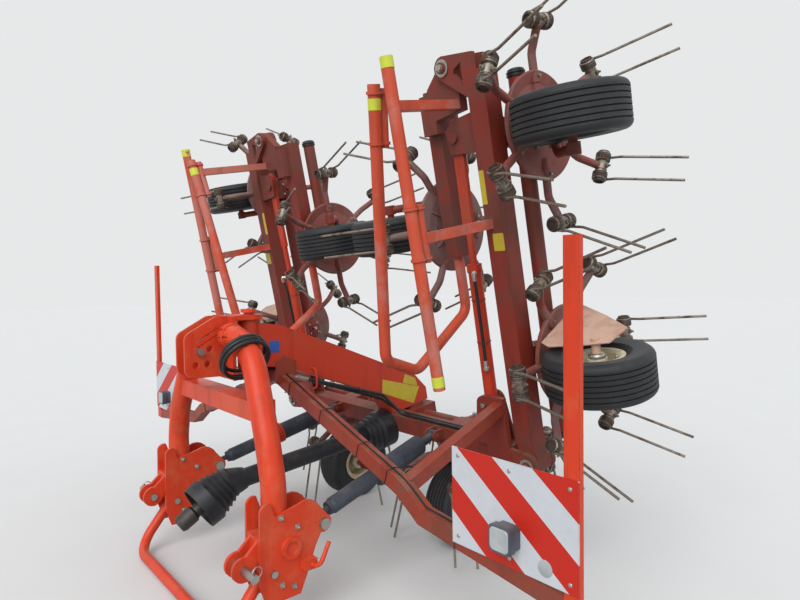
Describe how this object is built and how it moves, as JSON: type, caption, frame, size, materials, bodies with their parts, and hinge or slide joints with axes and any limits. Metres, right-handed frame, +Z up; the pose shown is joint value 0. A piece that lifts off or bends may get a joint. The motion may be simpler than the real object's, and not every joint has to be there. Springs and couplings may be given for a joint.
{
  "type": "hay tedder",
  "caption": "Mounted hay tedder with tined rotors on folding wings, swivelling arch headstock, steering dampers and parking stand, folded for transport",
  "frame": {"origin": "middle of the machine's box, on the ground", "axes": "+X the machine's left, -Y the hitch at the front, +Z up"},
  "size_m": [2.995, 1.8021, 2.2109],
  "materials": {
    "orange_paint": "orange-red enamel, semi-gloss, rubbed",
    "faded_paint": "orange-red enamel, faded and dusty",
    "rotor_paint": "faded red discs and arms, tines bare and rusty",
    "tyre": "ribbed black tyre, worn",
    "rim": "cream enamel, dull",
    "guard_plastic": "black moulded guard, dusty",
    "lamp_body": "dark grey housing",
    "board": "red and white diagonal stripes",
    "dark_steel": "dull dark steel",
    "pin_steel": "zinc plated, dull",
    "damper_black": "black enamel, worn",
    "hose_rubber": "black hose, dusty",
    "shield": "bleached sheet"
  },
  "bodies": {
    "frame": {"centre_beam": "faded_paint", "main_beam": "faded_paint", "centre_gear": "faded_paint", "input_guard": "guard_plastic", "front_guard": "orange_paint", "marker_boards": "board", "lamps": "lamp_body", "pto_shaft": "dark_steel", "pto_guard": "guard_plastic", "damper_barrels": "damper_black", "hose_lines": "hose_rubber"},
    "headstock": {"hitch_frame": "orange_paint", "hitch_brackets": "orange_paint", "hitch_pins": "pin_steel", "hose_loops": "hose_rubber"},
    "stand": {"parking_stand": "orange_paint"},
    "damper_rod_l": {"damper_rod_l": "damper_black"},
    "wing_l": {"wing_beam_l": "faded_paint", "wing_gear_l": "faded_paint", "wing_guard_l": "orange_paint", "wing_shield_l": "shield"},
    "outer_l": {"outer_arm_l": "faded_paint", "outer_gear_l": "faded_paint", "outer_guard_l": "orange_paint"},
    "lift_barrel_l": {"lift_barrel_l": "orange_paint"},
    "lift_rod_l": {"lift_rod_l": "orange_paint"},
    "rotor_l1": {"rotor_l1": "rotor_paint"},
    "wheel_l1": {"tyre_l1": "tyre", "rim_l1": "rim"},
    "rotor_l2": {"rotor_l2": "rotor_paint"},
    "wheel_l2": {"tyre_l2": "tyre", "rim_l2": "rim"},
    "rotor_l3": {"rotor_l3": "rotor_paint"},
    "wheel_l3": {"tyre_l3": "tyre", "rim_l3": "rim"},
    "rotor_l4": {"rotor_l4": "rotor_paint"},
    "wheel_l4": {"tyre_l4": "tyre", "rim_l4": "rim"},
    "damper_rod_r": {"damper_rod_r": "damper_black"},
    "wing_r": {"wing_beam_r": "faded_paint", "wing_gear_r": "faded_paint", "wing_guard_r": "orange_paint", "wing_shield_r": "shield"},
    "outer_r": {"outer_arm_r": "faded_paint", "outer_gear_r": "faded_paint", "outer_guard_r": "orange_paint"},
    "lift_barrel_r": {"lift_barrel_r": "orange_paint"},
    "lift_rod_r": {"lift_rod_r": "orange_paint"},
    "rotor_r1": {"rotor_r1": "rotor_paint"},
    "wheel_r1": {"tyre_r1": "tyre", "rim_r1": "rim"},
    "rotor_r2": {"rotor_r2": "rotor_paint"},
    "wheel_r2": {"tyre_r2": "tyre", "rim_r2": "rim"},
    "rotor_r3": {"rotor_r3": "rotor_paint"},
    "wheel_r3": {"tyre_r3": "tyre", "rim_r3": "rim"},
    "rotor_r4": {"rotor_r4": "rotor_paint"},
    "wheel_r4": {"tyre_r4": "tyre", "rim_r4": "rim"}
  },
  "joints": [
    {"name": "headstock_swivel", "type": "hinge", "parent": "frame", "child": "headstock", "pos_m": [0, -0.56044, 0.93], "axis": [0, 0, 1], "range_deg": [-12, 12]},
    {"name": "stand_fold", "type": "hinge", "parent": "headstock", "child": "stand", "pos_m": [0, -0.73544, 0.215], "axis": [1, 0, 0], "range_deg": [0, 125]},
    {"name": "damper_slide_l", "type": "slide", "parent": "frame", "child": "damper_rod_l", "axis": [0.0873, -0.9611, -0.262], "range_m": [-0.094, 0.094]},
    {"name": "wing_fold_l", "type": "hinge", "parent": "frame", "child": "wing_l", "pos_m": [0.88, 0.20122, 0.48931], "axis": [0, 0.9816, 0.1908], "range_deg": [0, 90]},
    {"name": "outer_fold_l", "type": "hinge", "parent": "wing_l", "child": "outer_l", "pos_m": [0.715, -0.0869, 1.97157], "axis": [0, 0.9816, 0.1908], "range_deg": [0, 180]},
    {"name": "lift_barrel_pivot_l", "type": "hinge", "parent": "frame", "child": "lift_barrel_l", "pos_m": [0.7, 0.14845, 0.70317], "axis": [0, 0.9816, 0.1908], "range_deg": [0, 91.86]},
    {"name": "lift_rod_slide_l", "type": "slide", "parent": "lift_barrel_l", "child": "lift_rod_l", "axis": [0.0144, -0.1908, 0.9815], "range_m": [0, 0.4029]},
    {"name": "rotor_l1_spin", "type": "hinge", "parent": "frame", "child": "rotor_l1", "pos_m": [0.425, 0.36768, 0.44526], "axis": [0, -0.1908, 0.9816], "continuous": true},
    {"name": "wheel_l1_spin", "type": "hinge", "parent": "frame", "child": "wheel_l1", "pos_m": [0.425, 0.26547, 0.185], "axis": [1, 0, 0], "continuous": true},
    {"name": "rotor_l2_spin", "type": "hinge", "parent": "wing_l", "child": "rotor_l2", "pos_m": [0.955, 0.27801, 0.90663], "axis": [-1, 0, 0], "continuous": true},
    {"name": "wheel_l2_spin", "type": "hinge", "parent": "wing_l", "child": "wheel_l2", "pos_m": [1.19097, 0.13076, 0.87801], "axis": [0, -0.1908, 0.9816], "continuous": true},
    {"name": "rotor_l3_spin", "type": "hinge", "parent": "wing_l", "child": "rotor_l3", "pos_m": [0.955, 0.11582, 1.74101], "axis": [-1, 0, 0], "continuous": true},
    {"name": "wheel_l3_spin", "type": "hinge", "parent": "wing_l", "child": "wheel_l3", "pos_m": [1.19097, -0.03143, 1.71239], "axis": [0, -0.1908, 0.9816], "continuous": true},
    {"name": "rotor_l4_spin", "type": "hinge", "parent": "outer_l", "child": "rotor_l4", "pos_m": [0.475, 0.17688, 1.42689], "axis": [1, 0, 0], "continuous": true},
    {"name": "wheel_l4_spin", "type": "hinge", "parent": "outer_l", "child": "wheel_l4", "pos_m": [0.23902, 0.02963, 1.39827], "axis": [0, -0.1908, 0.9816], "continuous": true},
    {"name": "damper_slide_r", "type": "slide", "parent": "frame", "child": "damper_rod_r", "axis": [-0.0873, -0.9611, -0.262], "range_m": [-0.094, 0.094]},
    {"name": "wing_fold_r", "type": "hinge", "parent": "frame", "child": "wing_r", "pos_m": [-0.88, 0.20122, 0.48931], "axis": [0, -0.9816, -0.1908], "range_deg": [0, 90]},
    {"name": "outer_fold_r", "type": "hinge", "parent": "wing_r", "child": "outer_r", "pos_m": [-0.715, -0.0869, 1.97157], "axis": [0, -0.9816, -0.1908], "range_deg": [0, 180]},
    {"name": "lift_barrel_pivot_r", "type": "hinge", "parent": "frame", "child": "lift_barrel_r", "pos_m": [-0.7, 0.14845, 0.70317], "axis": [0, -0.9816, -0.1908], "range_deg": [0, 91.86]},
    {"name": "lift_rod_slide_r", "type": "slide", "parent": "lift_barrel_r", "child": "lift_rod_r", "axis": [-0.0144, -0.1908, 0.9815], "range_m": [0, 0.4029]},
    {"name": "rotor_r1_spin", "type": "hinge", "parent": "frame", "child": "rotor_r1", "pos_m": [-0.425, 0.36768, 0.44526], "axis": [0, -0.1908, 0.9816], "continuous": true},
    {"name": "wheel_r1_spin", "type": "hinge", "parent": "frame", "child": "wheel_r1", "pos_m": [-0.425, 0.26547, 0.185], "axis": [1, 0, 0], "continuous": true},
    {"name": "rotor_r2_spin", "type": "hinge", "parent": "wing_r", "child": "rotor_r2", "pos_m": [-0.955, 0.27801, 0.90663], "axis": [1, 0, 0], "continuous": true},
    {"name": "wheel_r2_spin", "type": "hinge", "parent": "wing_r", "child": "wheel_r2", "pos_m": [-1.19097, 0.13076, 0.87801], "axis": [0, -0.1908, 0.9816], "continuous": true},
    {"name": "rotor_r3_spin", "type": "hinge", "parent": "wing_r", "child": "rotor_r3", "pos_m": [-0.955, 0.11582, 1.74101], "axis": [1, 0, 0], "continuous": true},
    {"name": "wheel_r3_spin", "type": "hinge", "parent": "wing_r", "child": "wheel_r3", "pos_m": [-1.19097, -0.03143, 1.71239], "axis": [0, -0.1908, 0.9816], "continuous": true},
    {"name": "rotor_r4_spin", "type": "hinge", "parent": "outer_r", "child": "rotor_r4", "pos_m": [-0.475, 0.17688, 1.42689], "axis": [-1, 0, 0], "continuous": true},
    {"name": "wheel_r4_spin", "type": "hinge", "parent": "outer_r", "child": "wheel_r4", "pos_m": [-0.23902, 0.02963, 1.39827], "axis": [0, -0.1908, 0.9816], "continuous": true}
  ],
  "couplings": [
    {"joint": "damper_slide_l", "follows": "headstock_swivel", "m_per_rad": -0.43083},
    {"joint": "outer_fold_l", "follows": "wing_fold_l", "ratio": 2},
    {"joint": "lift_barrel_pivot_l", "follows": "wing_fold_l", "ratio": 1.0151},
    {"joint": "lift_rod_slide_l", "follows": "wing_fold_l", "m_per_rad": 0.25525},
    {"joint": "rotor_l2_spin", "follows": "rotor_l1_spin", "ratio": -1},
    {"joint": "rotor_l3_spin", "follows": "rotor_l1_spin", "ratio": 1},
    {"joint": "rotor_l4_spin", "follows": "rotor_l1_spin", "ratio": -1},
    {"joint": "damper_slide_r", "follows": "headstock_swivel", "m_per_rad": 0.43083},
    {"joint": "outer_fold_r", "follows": "wing_fold_r", "ratio": 2},
    {"joint": "lift_barrel_pivot_r", "follows": "wing_fold_r", "ratio": 1.0151},
    {"joint": "lift_rod_slide_r", "follows": "wing_fold_r", "m_per_rad": 0.25525},
    {"joint": "rotor_r1_spin", "follows": "rotor_l1_spin", "ratio": -1},
    {"joint": "rotor_r2_spin", "follows": "rotor_l1_spin", "ratio": 1},
    {"joint": "rotor_r3_spin", "follows": "rotor_l1_spin", "ratio": -1},
    {"joint": "rotor_r4_spin", "follows": "rotor_l1_spin", "ratio": 1}
  ]
}
